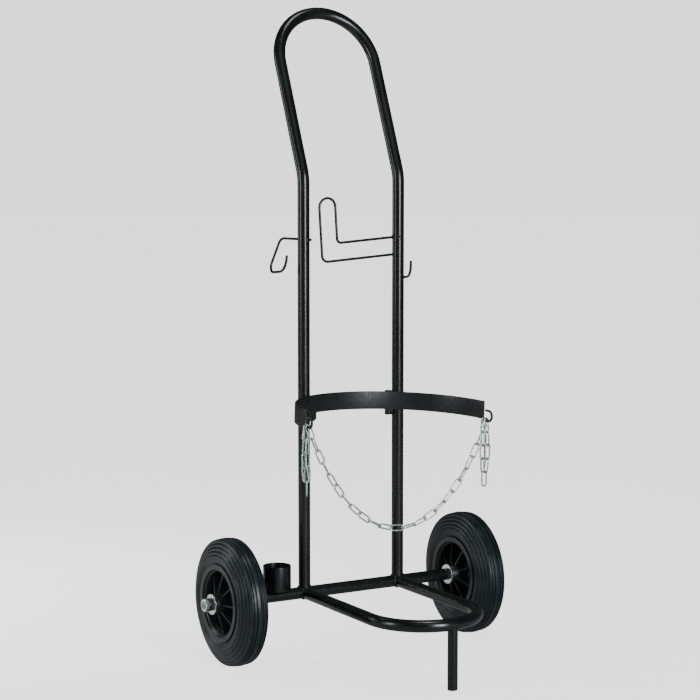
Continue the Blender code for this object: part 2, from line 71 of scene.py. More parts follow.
# Cup
CUP_X = -0.1352
CUP_RADIUS = 0.0221
CUP_WALL = 0.0015
CUP_BASE, CUP_TOP = (corner.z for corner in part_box("rod_cup"))

# Strap and its brackets
STRAP_RADIUS = 0.1625
STRAP_THICKNESS = 0.003
STRAP_WIDTH = 0.0286
STRAP_HALF_ARC = math.radians(85.7)
STRAP_TOP = 0.4135
STRAP_TILT = math.radians(1.4)
STRAP_SKEW = math.radians(1.7)
STRAP_CLEARANCE = 0.0010
BRACKET_RADIUS = 0.006

# Wire hooks on the strap's ends
CHAIN_HOOK_WIRE = 0.0020
CHAIN_HOOK_STRAIGHT = 0.0140
CHAIN_HOOK_BEND = 0.0080
CHAIN_HOOK_MOUTH = 0.006
CHAIN_HOOK_INSET = 0.0012
CHAIN_HOOK_RISE = {"left": 0.0026, "right": -0.0012}

# Chain
LINK_COUNT = 23
LINK_PITCH = 0.0211
LINK_WIRE = 0.0011
LINK_HALF_WIDTH = 0.0055
LINK_PLAY = 0.0006
LINK_DRAWN_WIRE = 0.00128
LINK_WELD = 0.15
CHAIN_SEAT = 0.0093
CHAIN_LEAVES = Vector((0.37, 0, -0.93))
TWIST = math.radians(27.45)
TAIL_SEAT = 0.0039
TAIL_STRAND_LINKS = 4
TAIL_STRAND_APART = 0.0015
TAIL_MEET = 0.0016
TAIL_TWIST = {"left": math.radians(22), "right": 0.0}
TAIL_BULGES = ((1, 0.0044), (-1, 0.0014))

# Torch rest
REST_WIRE = 0.0021
REST_HEIGHT = 0.6440
REST_FINGER = 0.0275
REST_REACH = 0.1300
REST_TIP_WIDTH = 0.0285
REST_TIP_RISE = 0.0855
REST_SAG = math.radians(3.6)
REST_CORNER = 0.007
REST_OUTER_CORNER = 0.010

# Hose hooks
HOSE_WIRE = 0.0021
HOSE_HEIGHT = 0.6590
HOSE_TOE_OUT = {"left": math.radians(17.0), "right": math.radians(31.0)}
HOSE_STUB = 0.0165
HOSE_ARM = 0.0500
HOSE_HEEL = {"left": (0.0280, 0.0650), "right": (0.0380, 0.0520)}
HOSE_TOE = (0.0285, 0.0070)
HOSE_TIP = (0.0270, 0.0050)
HOSE_DROP = 0.0550
HOSE_TOE_DROP = 0.0490
HOSE_TIP_DROP = 0.0240
HOSE_EXTRA_DROP = {"left": 0.0, "right": 0.0165}
HOSE_BENDS = (0.0120, 0.0120, 0.0230)

# Wheels
WHEEL_RADIUS = 0.100
TYRE_BEAD_HALF_WIDTH = 0.0215
TYRE_SECTION = (
    (TYRE_BEAD_HALF_WIDTH, 0.0585), (TYRE_BEAD_HALF_WIDTH, 0.0616), (0.0250, 0.0695),
    (0.0240, 0.0770), (0.0135, 0.0985), (0.0, WHEEL_RADIUS),
)
TYRE_ROUNDING = (0.001, 0.010, 0.012, 0.0030)
TREAD_EDGE_RADIUS = 0.0975
TREAD_GROOVES = (0.0050, 0.0104)
TREAD_GROOVE_WIDTH = 0.0009
TREAD_GROOVE_DEPTH = 0.0018
WALL_EDGE_WIDTH = 0.0145
WALL_GROOVES = (0.0760, 0.0820, 0.0880, 0.0935)
WALL_GROOVE_WIDTH = 0.0012
WALL_GROOVE_DEPTH = 0.0013
FINE_RING_BAND = (0.0635, 0.0725)
FINE_RINGS = 0.0022
FINE_RING_DEPTH = 0.00018
RIM_SEAT_RADIUS = 0.0577
RIM_FLANGE_RADIUS = 0.0612
RIM_LIP_RADIUS = 0.0520
RIM_LIP_WIDTH = 0.0242
RIM_WEB_RADIUS = 0.0470
RIM_WEB_HALF_WIDTH = 0.0025
HUB_HALF_LENGTH = 0.0325
HUB_END_RADIUS = 0.0150
HUB_ROOT_RADIUS = 0.0190
RIB_COUNT = 8
RIB_THICKNESS = 0.0018
RIB_PHASE = {"left": 0.0, "right": 0.5}
AXLE_ROD_RADIUS = 0.0060
WASHER_RADIUS = 0.0160
SPACER_RADIUS = 0.0100
NUT_ACROSS_FLATS = 0.019

# Weld beads
BEAD_RADIUS = 0.0019
BEAD_PITCH = 0.0022
BEAD_RIPPLE = 0.16
BEAD_WANDER = 0.08
CUP_BEAD_RADIUS = 0.0014
BRACKET_BEAD_RADIUS = 0.0016
LEG_BEAD_RADIUS = 0.0010

# Camera and stage
CAMERA_PLACE = (-1.69336, -2.81791, 0.86359)
CAMERA_YAW = math.radians(30.141)
CAMERA_PITCH = math.radians(6.476)
CAMERA_LENS = 110.14
PAPER_WHITE = 1.8


# ---------------------------------------------------------------- paths

def rounded_path(corners, radii, steps=10):
    """A path through the corners, with each inner corner turned into an arc."""
    points = [Vector(corners[0])]
    for before, corner, after, radius in zip(corners, corners[1:], corners[2:], radii):
        corner = Vector(corner)
        back = (Vector(before) - corner).normalized()
        ahead = (Vector(after) - corner).normalized()
        half_angle = back.angle(ahead) / 2
        reach = radius / math.tan(half_angle)
        centre = corner + (back + ahead).normalized() * (radius / math.sin(half_angle))
        start = corner + back * reach - centre
        end = corner + ahead * reach - centre
        sweep = start.angle(end)
        for i in range(steps + 1):
            t = i / steps
            turned = start * math.sin((1 - t) * sweep) + end * math.sin(t * sweep)
            points.append(centre + turned / math.sin(sweep))
    points.append(Vector(corners[-1]))
    return points


def split_path(points, longest):
    """The same path with its long straights cut into shorter steps."""
    finer = [points[0]]
    for start, end in zip(points, points[1:]):
        count = max(1, math.ceil((end - start).length / longest))
        finer += [start.lerp(end, i / count) for i in range(1, count + 1)]
    return finer


def handle_points():
    lean = Vector((0, math.sin(HANDLE_LEAN), math.cos(HANDLE_LEAN)))
    bend = Vector((0, 0, HANDLE_BEND_HEIGHT))
    grip_start = bend + lean * HANDLE_SLOPE
    left = Vector((-HALF_SPACING, 0, 0))
    leg = [left + Vector((0, 0, AXLE_HEIGHT)), left + bend, left + grip_start]
    rising = rounded_path(leg, [HANDLE_BEND_RADIUS])
    arc_steps = 48
    grip = []
    for i in range(1, arc_steps):
        angle = math.pi * i / arc_steps
        across = Vector((-math.cos(angle) * HALF_SPACING, 0, 0))
        grip.append(grip_start + across + lean * math.sin(angle) * HALF_SPACING)
    falling = [Vector((-p.x, p.y, p.z)) for p in reversed(rising)]
    return rising + grip + falling


def base_points():
    arc_centre_y = -(BASE_REACH - HALF_SPACING)
    arc_steps = 48
    points = [Vector((-HALF_SPACING, 0, AXLE_HEIGHT))]
    for i in range(arc_steps + 1):
        angle = math.pi * i / arc_steps
        x = -math.cos(angle) * HALF_SPACING
        points.append(Vector((x, arc_centre_y - math.sin(angle) * HALF_SPACING, AXLE_HEIGHT)))
    points.append(Vector((HALF_SPACING, 0, AXLE_HEIGHT)))
    return points


def strap_frame():
    """The strap's own axes: the middle of its arc, tilted forward and slightly askew."""
    reach = STRAP_RADIUS + TUBE_RADIUS + STRAP_CLEARANCE
    centre_y = -math.sqrt(reach**2 - HALF_SPACING**2)
    middle = Vector((0, centre_y + STRAP_RADIUS, STRAP_TOP - STRAP_WIDTH / 2))
    turn = Matrix.Rotation(STRAP_TILT, 4, "X") @ Matrix.Rotation(STRAP_SKEW, 4, "Y")
    return Matrix.Translation(middle) @ turn @ Matrix.Translation((0, -STRAP_RADIUS, 0))


def strap_end(side):
    """Axes at one end of the strap: X outward, Y along the bar and forward, Z up."""
    angle = STRAP_HALF_ARC
    mid_radius = STRAP_RADIUS - STRAP_THICKNESS / 2 - CHAIN_HOOK_INSET
    spot = Vector((side * math.sin(angle) * mid_radius, math.cos(angle) * mid_radius, 0))
    forward = Vector((side * math.cos(angle), -math.sin(angle), 0))
    up = Vector((0, 0, 1))
    axes = Matrix((forward.cross(up), forward, up)).transposed().to_4x4()
    return strap_frame() @ Matrix.Translation(spot) @ axes


def chain_hook_points(name):
    low = -STRAP_WIDTH / 2 + CHAIN_HOOK_RISE[name]
    points = [Vector((0, -GAP, low))]
    arc_steps = 20
    for i in range(arc_steps + 1):
        angle = math.pi * i / arc_steps
        y = CHAIN_HOOK_STRAIGHT + math.sin(angle) * CHAIN_HOOK_BEND
        z = low + CHAIN_HOOK_BEND - math.cos(angle) * CHAIN_HOOK_BEND
        points.append(Vector((0, y, z)))
    points.append(Vector((0, CHAIN_HOOK_MOUTH, low + 2 * CHAIN_HOOK_BEND)))
    place = strap_end(SIDES[name])
    return [place @ p for p in points]


def hook_spot(name, along):
    """A point on the middle of a hook's lower wire, this far out from the strap's end."""
    low = -STRAP_WIDTH / 2 + CHAIN_HOOK_RISE[name]
    return strap_end(SIDES[name]) @ Vector((0, along, low))


def hanging_curve(start, end, length):
    """A function from the distance along a hanging chain to its point in space."""
    span = (end - start).xy.length
    rise = end.z - start.z
    target = math.sqrt(length**2 - rise**2)
    low, high = span / 20, span * 20
    for _ in range(60):
        scale = (low + high) / 2
        if 2 * scale * math.sinh(span / (2 * scale)) > target:
            low = scale
        else:
            high = scale
    bottom = span / 2 - scale * math.asinh(rise / (2 * scale * math.sinh(span / (2 * scale))))
    first = scale * math.sinh(-bottom / scale)
    level = start.z - scale * math.cosh(bottom / scale)

    def point(distance):
        across = scale * math.asinh((first + distance) / scale)
        flat = start.lerp(end, (across + bottom) / span)
        return Vector((flat.x, flat.y, level + scale * math.cosh(across / scale)))

    return point


def chain_joints():
    """The points where one link meets the next, from the left hook to the right."""
    lift = CHAIN_HOOK_WIRE + LINK_PLAY / 2
    start = hook_spot("left", CHAIN_SEAT) - CHAIN_LEAVES * lift
    end = hook_spot("right", CHAIN_SEAT) - CHAIN_LEAVES * Vector((-1, 0, 1)) * lift
    point = hanging_curve(start, end, LINK_COUNT * LINK_PITCH)
    return [point(i * LINK_PITCH) for i in range(LINK_COUNT + 1)]


def link_roll(i):
    """A quarter of a turn for each link, and a steady twist on from the third."""
    return i * math.pi / 2 + max(0, i - 2) * TWIST


def rest_points():
    half = REST_FINGER / 2
    tip_half = REST_TIP_WIDTH / 2
    inner = REST_REACH - REST_TIP_WIDTH
    corners = [
        (-TUBE_RADIUS / 3, 0, half),
        (inner, 0, half),
        (inner, 0, REST_TIP_RISE),
        (REST_REACH, 0, REST_TIP_RISE),
        (REST_REACH, 0, -half),
        (-TUBE_RADIUS / 3, 0, -half),
    ]
    lower = rounded_path(corners[:3], [REST_CORNER])
    upper = rounded_path(corners[3:], [REST_OUTER_CORNER])
    arc_steps = 24
    tip = []
    for i in range(arc_steps + 1):
        angle = math.pi * i / arc_steps
        x = inner + tip_half - math.cos(angle) * tip_half
        tip.append(Vector((x, 0, REST_TIP_RISE - tip_half + math.sin(angle) * tip_half)))
    turn = Matrix.Rotation(math.pi, 4, "Z") @ Matrix.Rotation(REST_SAG, 4, "Y")
    place = Matrix.Translation((HALF_SPACING - TUBE_RADIUS, 0, REST_HEIGHT)) @ turn
    return [place @ p for p in lower[:-1] + tip + upper[1:]]


def hose_hook_points(name):
    side = SIDES[name]
    away = Vector((side * math.sin(HOSE_TOE_OUT[name]), math.cos(HOSE_TOE_OUT[name]), 0))
    upright = Vector((side * HALF_SPACING, 0, HOSE_HEIGHT))
    corners = [upright - away * HOSE_STUB, upright + away * HOSE_ARM]
    for (out, back), drop in (
        (HOSE_HEEL[name], HOSE_DROP), (HOSE_TOE, HOSE_TOE_DROP), (HOSE_TIP, HOSE_TIP_DROP)
    ):
        corners.append(upright + Vector((side * out, back, -drop - HOSE_EXTRA_DROP[name])))
    return rounded_path(corners, HOSE_BENDS)


# ---------------------------------------------------------------- shells

def axes_along(points, closed):
    """Two axes across the path at each point, carried along it without twisting."""
    count = len(points)
    tangents = []
    for i in range(count):
        before = points[i - 1] if closed or i > 0 else points[i]
        after = points[(i + 1) % count] if closed or i < count - 1 else points[i]
        tangents.append((after - before).normalized())
    across = tangents[0].orthogonal().normalized()
    axes = []
    for i, tangent in enumerate(tangents):
        if i:
            across = tangents[i - 1].rotation_difference(tangent) @ across
        across = (across - tangent * across.dot(tangent)).normalized()
        axes.append((across, tangent.cross(across)))
    if closed:
        carried = tangents[-1].rotation_difference(tangents[0]) @ across
        slip = math.atan2(carried.dot(axes[0][1]), carried.dot(axes[0][0]))
        for i, (across, other) in enumerate(axes):
            back = Matrix.Rotation(-slip * i / count, 3, tangents[i])
            axes[i] = (back @ across, back @ other)
    return axes


def swept(points, radii, sides, closed=False):
    """A round bar along the points, with one radius or a radius for each point."""
    if isinstance(radii, float):
        radii = [radii] * len(points)
    verts = []
    for point, radius, (across, other) in zip(points, radii, axes_along(points, closed)):
        for k in range(sides):
            angle = math.tau * k / sides
            verts.append(point + (across * math.cos(angle) + other * math.sin(angle)) * radius)
    return verts, ring_faces(len(points), sides, closed)


def ring_faces(rings, sides, closed):
    """Faces between neighbouring rings, with a cap on each end of an open run."""
    faces = []
    for i in range(rings if closed else rings - 1):
        a, b = i * sides, (i + 1) % rings * sides
        for k in range(sides):
            n = (k + 1) % sides
            faces.append((a + k, a + n, b + n, b + k))
    if not closed:
        faces.append(tuple(reversed(range(sides))))
        faces.append(tuple(range((rings - 1) * sides, rings * sides)))
    return faces


def bar(points, radius, sides, chamfer=0.0):
    """A swept bar whose two ends have a small chamfer."""
    radii = [radius] * len(points)
    if chamfer:
        first = points[0] + (points[1] - points[0]).normalized() * chamfer
        last = points[-1] + (points[-2] - points[-1]).normalized() * chamfer
        points = [points[0], first] + points[1:-1] + [last, points[-1]]
        inner = [radius] * (len(points) - 2)
        radii = [radius - chamfer] + inner + [radius - chamfer]
    return swept(points, radii, sides)


def turned(outline, segments, axis="X", centre=(0, 0, 0)):
    """A closed outline of (along, radius) points spun round the X or the Z axis."""
    centre = Vector(centre)
    verts = []
    for s in range(segments):
        angle = math.tau * s / segments
        c, d = math.cos(angle), math.sin(angle)
        for along, radius in outline:
            x, y = radius * c, radius * d
            verts.append(centre + Vector((along, x, y) if axis == "X" else (x, y, along)))
    return verts, ring_faces(segments, len(outline), True)


def softened(corners, radius, steps=3):
    """A closed outline of (along, radius) points with every corner rounded a little."""
    outline = []
    count = len(corners)
    for i in range(count):
        corner = Vector(corners[i])
        before = Vector(corners[i - 1]) - corner
        after = Vector(corners[(i + 1) % count]) - corner
        reach = min(radius, before.length / 2, after.length / 2)
        start = corner + before.normalized() * reach
        end = corner + after.normalized() * reach
        for k in range(steps + 1):
            t = k / steps
            outline.append(start * (1 - t) ** 2 + corner * 2 * t * (1 - t) + end * t**2)
    return [(p.x, p.y) for p in outline]


def bead(points, radius=BEAD_RADIUS, closed=False):
    """A weld bead along the points, laid in overlapping ripples."""
    path = split_path(points + [points[0]] if closed else points, BEAD_PITCH / 6)
    if closed:
        path = path[:-1]
    radii = []
    travelled = 0.0
    total = sum((b - a).length for a, b in zip(path, path[1:]))
    for i, point in enumerate(path):
        if i:
            travelled += (point - path[i - 1]).length
        ripple = 1 - BEAD_RIPPLE * abs(math.sin(math.pi * travelled / BEAD_PITCH))
        ripple *= 1 + BEAD_WANDER * math.sin(travelled * 1900 + point.z * 700)
        if not closed:
            end = min(travelled, total - travelled) / (radius * 1.2)
            ripple *= math.sqrt(max(0.08, 1 - max(0.0, 1 - end) ** 2))
        radii.append(radius * ripple)
    return swept(path, radii, 10, closed)


def ring_bead(centre, normal, ring, radius):
    """A round weld bead round a wire that meets a surface."""
    normal = normal.normalized()
    across = normal.orthogonal().normalized()
    other = normal.cross(across)
    steps = 24
    points = []
    for i in range(steps):
        angle = math.tau * i / steps
        points.append(centre + (across * math.cos(angle) + other * math.sin(angle)) * ring)
    return bead(points, radius, closed=True)


# ---------------------------------------------------------------- pieces

def piece(name, shells, mat, body, slot, *replaced, sharp=38):
    """One named object from its shells, riding on a body and standing for CAD nodes."""
    verts, faces = [], []
    for shell_verts, shell_faces in shells:
        first = len(verts)
        verts += [CART @ Vector(v) for v in shell_verts]
        faces += [tuple(first + i for i in face) for face in shell_faces]
    mesh = bpy.data.meshes.new(name)
    mesh.from_pydata(verts, [], faces)
    bm = bmesh.new()
    bm.from_mesh(mesh)
    bmesh.ops.recalc_face_normals(bm, faces=bm.faces)
    bm.to_mesh(mesh)
    bm.free()
    mesh.shade_smooth()
    mesh.set_sharp_from_angle(angle=math.radians(sharp))
    mesh.materials.append(mat)
    obj = bpy.data.objects.new(name, mesh)
    bpy.context.scene.collection.objects.link(obj)
    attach(obj, body)
    if replaced:
        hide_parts(*replaced)
    return obj


# ---------------------------------------------------------------- materials

def new_material(name, roughness, metallic=0.0):
    mat = bpy.data.materials.new(name)
    mat.use_nodes = True
    shader = mat.node_tree.nodes["Principled BSDF"]
    shader.inputs["Roughness"].default_value = roughness
    shader.inputs["Metallic"].default_value = metallic
    return mat, shader


def speckle(mat, scale, detail=4.0, stretch=(1, 1, 1)):
    """Noise in the object's own axes, with about this many spots in a metre."""
    nodes, links = mat.node_tree.nodes, mat.node_tree.links
    coords = nodes.new("ShaderNodeTexCoord")
    mapping = nodes.new("ShaderNodeMapping")
    mapping.inputs["Scale"].default_value = stretch
    noise = nodes.new("ShaderNodeTexNoise")
    noise.inputs["Scale"].default_value = scale
    noise.inputs["Detail"].default_value = detail
    links.new(coords.outputs["Object"], mapping.inputs["Vector"])
    links.new(mapping.outputs["Vector"], noise.inputs["Vector"])
    return noise.outputs["Fac"]


def colour_by(mat, shader, factor, low, high, start=0.38, end=0.62):
    """The base colour runs from one colour to the other with the factor."""
    ramp = mat.node_tree.nodes.new("ShaderNodeValToRGB")
    ramp.color_ramp.elements[0].position = start
    ramp.color_ramp.elements[0].color = (*low, 1.0)
    ramp.color_ramp.elements[1].position = end
    ramp.color_ramp.elements[1].color = (*high, 1.0)
    mat.node_tree.links.new(factor, ramp.inputs["Fac"])
    mat.node_tree.links.new(ramp.outputs["Color"], shader.inputs["Base Color"])


def roughness_by(mat, shader, factor, low, high):
    spread = mat.node_tree.nodes.new("ShaderNodeMapRange")
    spread.inputs["From Min"].default_value = 0.35
    spread.inputs["From Max"].default_value = 0.65
    spread.inputs["To Min"].default_value = low
    spread.inputs["To Max"].default_value = high
    mat.node_tree.links.new(factor, spread.inputs["Value"])
    mat.node_tree.links.new(spread.outputs["Result"], shader.inputs["Roughness"])


def relief(mat, shader, height, distance, strength):
    """Raise the surface by the height, on top of any relief it has already."""
    links = mat.node_tree.links
    bump = mat.node_tree.nodes.new("ShaderNodeBump")
    bump.inputs["Distance"].default_value = distance
    bump.inputs["Strength"].default_value = strength
    links.new(height, bump.inputs["Height"])
    if shader.inputs["Normal"].is_linked:
        links.new(shader.inputs["Normal"].links[0].from_socket, bump.inputs["Normal"])
    links.new(bump.outputs["Normal"], shader.inputs["Normal"])


def gloss_paint(name, stretch=(1, 1, 1)):
    """Black stove enamel on drawn tube, with a faint orange peel and flow marks."""
    mat, shader = new_material(name, 0.18)
    low, high = (0.0030, 0.0048, 0.0050), (0.0060, 0.0090, 0.0094)
    colour_by(mat, shader, speckle(mat, 60, 3, stretch), low, high)
    roughness_by(mat, shader, speckle(mat, 140, 5), 0.20, 0.28)
    relief(mat, shader, speckle(mat, 90, 1, stretch), 0.0002, 0.08)
    return mat


def satin_paint(name):
    """Thinner satin black over rolled bar, mottled by the mill scale under it."""
    mat, shader = new_material(name, 0.4)
    low, high = (0.0035, 0.0055, 0.0058), (0.0110, 0.0150, 0.0158)
    colour_by(mat, shader, speckle(mat, 210, 6), low, high, 0.36, 0.68)
    roughness_by(mat, shader, speckle(mat, 330, 5), 0.32, 0.50)
    relief(mat, shader, speckle(mat, 900, 4), 0.00022, 0.5)
    relief(mat, shader, speckle(mat, 120, 3), 0.0004, 0.3)
    shader.inputs["Specular IOR Level"].default_value = 0.45
    return mat


def wire_paint(name):
    mat, shader = new_material(name, 0.25)
    colour_by(mat, shader, speckle(mat, 260, 4), (0.0030, 0.0042, 0.0045), (0.0065, 0.0085, 0.0090))
    roughness_by(mat, shader, speckle(mat, 300, 4), 0.20, 0.34)
    relief(mat, shader, speckle(mat, 700, 3), 0.00010, 0.4)
    return mat


def tyre_rubber(name):
    """Moulded rubber: blue-grey bloom over black, with a fine grain."""
    mat, shader = new_material(name, 0.4)
    colour_by(mat, shader, speckle(mat, 45, 5), (0.0050, 0.0105, 0.0130), (0.0095, 0.0170, 0.0205))
    roughness_by(mat, shader, speckle(mat, 120, 6), 0.28, 0.38)
    shader.inputs["Specular IOR Level"].default_value = 0.38
    relief(mat, shader, speckle(mat, 1500, 4), 0.00008, 0.35)
    relief(mat, shader, speckle(mat, 180, 3), 0.00020, 0.2)
    return mat


def wheel_plastic(name, highlight_gain=1.0):
    """Moulded polypropylene with a fine spark-eroded grain. The second argument scales the colour;
    above one it gives a lighter copy, a painted highlight for edges that catch the light.
    """
    mat, shader = new_material(name, 0.40)
    low, high = Vector((0.0055, 0.0080, 0.0090)) * highlight_gain, Vector((0.0105, 0.0140, 0.0155)) * highlight_gain
    colour_by(mat, shader, speckle(mat, 90, 4), low, high)
    roughness_by(mat, shader, speckle(mat, 240, 5), 0.32, 0.44)
    relief(mat, shader, speckle(mat, 1300, 3), 0.00010, 0.3)
    return mat


def zinc_plate(name, low, high, roughness, metallic, grain=260):
    """Bright zinc with cloudy patches and fine scratches."""
    mat, shader = new_material(name, roughness, metallic)
    colour_by(mat, shader, speckle(mat, grain, 5), low, high)
    roughness_by(mat, shader, speckle(mat, grain * 2, 5), roughness - 0.05, roughness + 0.08)
    relief(mat, shader, speckle(mat, 700, 3), 0.00003, 0.3)
    return mat


def make_materials():
    return {
        "frame": gloss_paint("frame_enamel", (1, 1, 0.15)),
        "axle": gloss_paint("axle_enamel", (0.15, 1, 1)),
        "weld": gloss_paint("weld_enamel"),
        "strap": satin_paint("strap_satin"),
        "wire": wire_paint("wire_enamel"),
        "rubber": tyre_rubber("tyre_rubber"),
        "plastic": wheel_plastic("wheel_plastic"),
        # The ribs use a copy of the plastic three times lighter: painted highlight for the light on
        # their thin edges.
        "ribs": wheel_plastic("rib_plastic_painted_highlight", 3.0),
        "zinc": zinc_plate("bright_zinc", (0.70, 0.78, 0.75), (0.86, 0.94, 0.91), 0.17, 0.9),
        "chain": zinc_plate("chain_zinc", (0.42, 0.49, 0.48), (0.72, 0.80, 0.78), 0.28, 0.85, 420),
        # Near black for the spacer: a real spacer fills the gap, and its dark colour is painted
        # shade for the nut's shadow across it.
        "dark": zinc_plate("spacer_shade_plate", (0.03, 0.035, 0.04), (0.07, 0.08, 0.085), 0.36, 0.8),
        "rod": zinc_plate("rod_zinc", (0.16, 0.19, 0.19), (0.30, 0.34, 0.34), 0.36, 0.7),
    }


# ---------------------------------------------------------------- frame

def build_frame(mats):
    ends = [Vector((-AXLE_END, 0, AXLE_HEIGHT)), Vector((AXLE_END, 0, AXLE_HEIGHT))]
    piece("axle_tube_steel", [bar(ends, TUBE_RADIUS, 48, 0.0006)], mats["axle"],
          "cart", "frame_paint", "axle_tube")
    handle = swept(split_path(handle_points(), 0.03), TUBE_RADIUS, 48)
    piece("handle_tube", [handle], mats["frame"], "cart", "frame_paint", "handle_frame")
    base = swept(split_path(base_points(), 0.03), TUBE_RADIUS, 48)
    piece("base_tube", [base], mats["axle"], "cart", "frame_paint", "base_loop")
    leg = [Vector((LEG_X, -BASE_REACH, 0)), Vector((LEG_X, -BASE_REACH, AXLE_HEIGHT))]
    piece("leg_bar", [bar(leg, LEG_RADIUS, 40, 0.0008)], mats["frame"],
          "cart", "frame_paint", "prop_leg")
    piece("frame_welds", frame_beads(), mats["weld"], "cart", "frame_paint", sharp=60)


def crossing(spot, ring, along):
    """Points round a tube or bar where it meets the outside of the tube it crosses."""
    points = []
    steps = 48
    for i in range(steps):
        angle = math.tau * i / steps
        run, across = math.cos(angle) * ring, math.sin(angle) * ring
        rise = math.sqrt(max(0.0, (TUBE_RADIUS + GAP) ** 2 - across**2))
        offset = {
            "up": (run, across, rise), "down": (run, across, -rise), "front": (run, -rise, across)
        }[along]
        points.append(spot + Vector(offset))
    return points


def frame_beads():
    shells = []
    tube_ring = TUBE_RADIUS + 0.0006
    for side in SIDES.values():
        joint = Vector((side * HALF_SPACING, 0, AXLE_HEIGHT))
        shells.append(bead(crossing(joint, tube_ring, "up"), closed=True))
        shells.append(bead(crossing(joint, tube_ring, "front"), closed=True))
        for way in (-1, 1):
            start = Vector((CUP_X + side * 0.001, way * 0.0046, CUP_BASE - 0.0009))
            finish = start + Vector((side * 0.009, 0, 0))
            shells.append(bead([start, finish], CUP_BEAD_RADIUS))
    front = Vector((LEG_X, -BASE_REACH, AXLE_HEIGHT))
    leg_ring = crossing(front, LEG_RADIUS + 0.0002, "down")
    shells.append(bead(leg_ring, LEG_BEAD_RADIUS, closed=True))
    return shells


def build_cup(mats):
    """A drawn cup with a turned mouth and a flat floor."""
    inner = CUP_RADIUS - CUP_WALL
    corners = [
        (CUP_BASE, 0.0004), (CUP_BASE, CUP_RADIUS), (CUP_TOP, CUP_RADIUS),
        (CUP_TOP, inner), (CUP_BASE + CUP_WALL, inner), (CUP_BASE + CUP_WALL, 0.0004),
    ]
    shell = turned(softened(corners, 0.0007), 96, "Z", (CUP_X, 0, 0))
    piece("cup_shell", [shell], mats["frame"], "cart", "frame_paint", "rod_cup")


# ---------------------------------------------------------------- strap and chain

def build_strap(mats):
    """Flat bar with rolled edges, bent to an arc, its ends sheared square."""
    half_thick, half_wide = STRAP_THICKNESS / 2, STRAP_WIDTH / 2
    section = softened([
        (-half_thick, -half_wide), (half_thick, -half_wide),
        (half_thick, half_wide), (-half_thick, half_wide),
    ], 0.0007)
    steps = 120
    edge = 0.0004 / STRAP_RADIUS
    angles = [-STRAP_HALF_ARC, -STRAP_HALF_ARC + edge]
    angles += [STRAP_HALF_ARC * (2 * i / steps - 1) for i in range(1, steps)]
    angles += [STRAP_HALF_ARC - edge, STRAP_HALF_ARC]
    verts = []
    place = strap_frame()
    for i, angle in enumerate(angles):
        inset = 0.0004 if i in (0, len(angles) - 1) else 0.0
        for u, v in section:
            u -= math.copysign(min(inset, abs(u)), u)
            v -= math.copysign(min(inset, abs(v)), v)
            radius = STRAP_RADIUS - half_thick + u
            verts.append(place @ Vector((math.sin(angle) * radius, math.cos(angle) * radius, v)))
    shell = verts, ring_faces(len(angles), len(section), False)
    piece("strap_bar", [shell], mats["strap"], "cart", "strap_paint", "cylinder_strap")


def build_brackets(mats):
    beads = []
    centre = Vector((strap_frame() @ Vector((0, 0, 0))).xy)
    for name, side in SIDES.items():
        low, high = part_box("strap_bracket_" + name)
        spot = Vector(((low.x + high.x) / 2, (low.y + high.y) / 2 - AXLE_Y))
        line = [Vector((*spot, low.z)), Vector((*spot, high.z))]
        piece("bracket_bar_" + name, [bar(line, BRACKET_RADIUS, 32, 0.0007)], mats["frame"],
              "cart", "frame_paint", "strap_bracket_" + name)
        for neighbour in (Vector((side * HALF_SPACING, 0)), centre):
            towards = (neighbour - spot).normalized()
            for way in (-1, 1):
                across = Vector((-towards.y, towards.x)) * way * BRACKET_RADIUS * 0.55
                foot = spot + towards * BRACKET_RADIUS * 0.92 + across
                bottom, top = low.z + 0.002, high.z - 0.002
                run = [Vector((*foot, bottom)), Vector((*foot, top))]
                beads.append(bead(run, BRACKET_BEAD_RADIUS))
    piece("bracket_welds", beads, mats["weld"], "cart", "frame_paint", sharp=60)


def build_chain_hooks(mats):
    for name in SIDES:
        shells = [bar(chain_hook_points(name), CHAIN_HOOK_WIRE, 20, 0.0004)]
        start, ahead = hook_spot(name, 0.0003), hook_spot(name, 1.0)
        shells.append(ring_bead(start, ahead - start, CHAIN_HOOK_WIRE + 0.0002, 0.0009))
        piece("hook_wire_" + name, shells, mats["wire"], "cart", "wire_paint", "chain_hook_" + name)


def link_shell(start, end, flat, wire=LINK_DRAWN_WIRE):
    """One link between two joints, its plane square to flat, with its butt weld on one leg."""
    bend = LINK_HALF_WIDTH - wire
    straight = (LINK_PITCH + LINK_PLAY) / 2 + LINK_WIRE - bend
    arc_steps = 10
    path = []
    for way in (1, -1):
        for i in range(arc_steps + 1):
            angle = math.pi * (i / arc_steps - 0.5)
            run = way * (straight + math.cos(angle) * bend)
            path.append(Vector((run, 0, way * math.sin(angle) * bend)))
    path = split_path(path + [path[0]], 0.0012)[:-1]
    radii = []
    for p in path:
        weld = LINK_WELD * math.exp(-((p.x / 0.0011) ** 2)) if p.z > 0 else 0.0
        radii.append(wire * (1 + weld))
    along = (end - start).normalized()
    flat = (flat - along * flat.dot(along)).normalized()
    axes = Matrix((along, flat, along.cross(flat))).transposed().to_4x4()
    place = Matrix.Translation((start + end) / 2) @ axes
    verts, faces = swept(path, radii, 12, closed=True)
    return [place @ v for v in verts], faces


def build_chain(mats):
    joints = chain_joints()
    for i, (start, end) in enumerate(zip(joints, joints[1:])):
        along = (end - start).normalized()
        flat = Matrix.Rotation(link_roll(i), 3, along) @ Vector((0, 1, 0))
        number = "%02d" % (i + 1)
        on_hook = i in (0, len(joints) - 2)
        wire = LINK_WIRE if on_hook else LINK_DRAWN_WIRE
        piece("chain_wire_" + number, [link_shell(start, end, flat, wire)], mats["chain"],
              "chain_span", "chain_zinc", "chain_link_" + number)


def tail_turn(name, level):
    return Matrix.Rotation(TAIL_TWIST[name] * max(0, level - 1), 3, "Z")


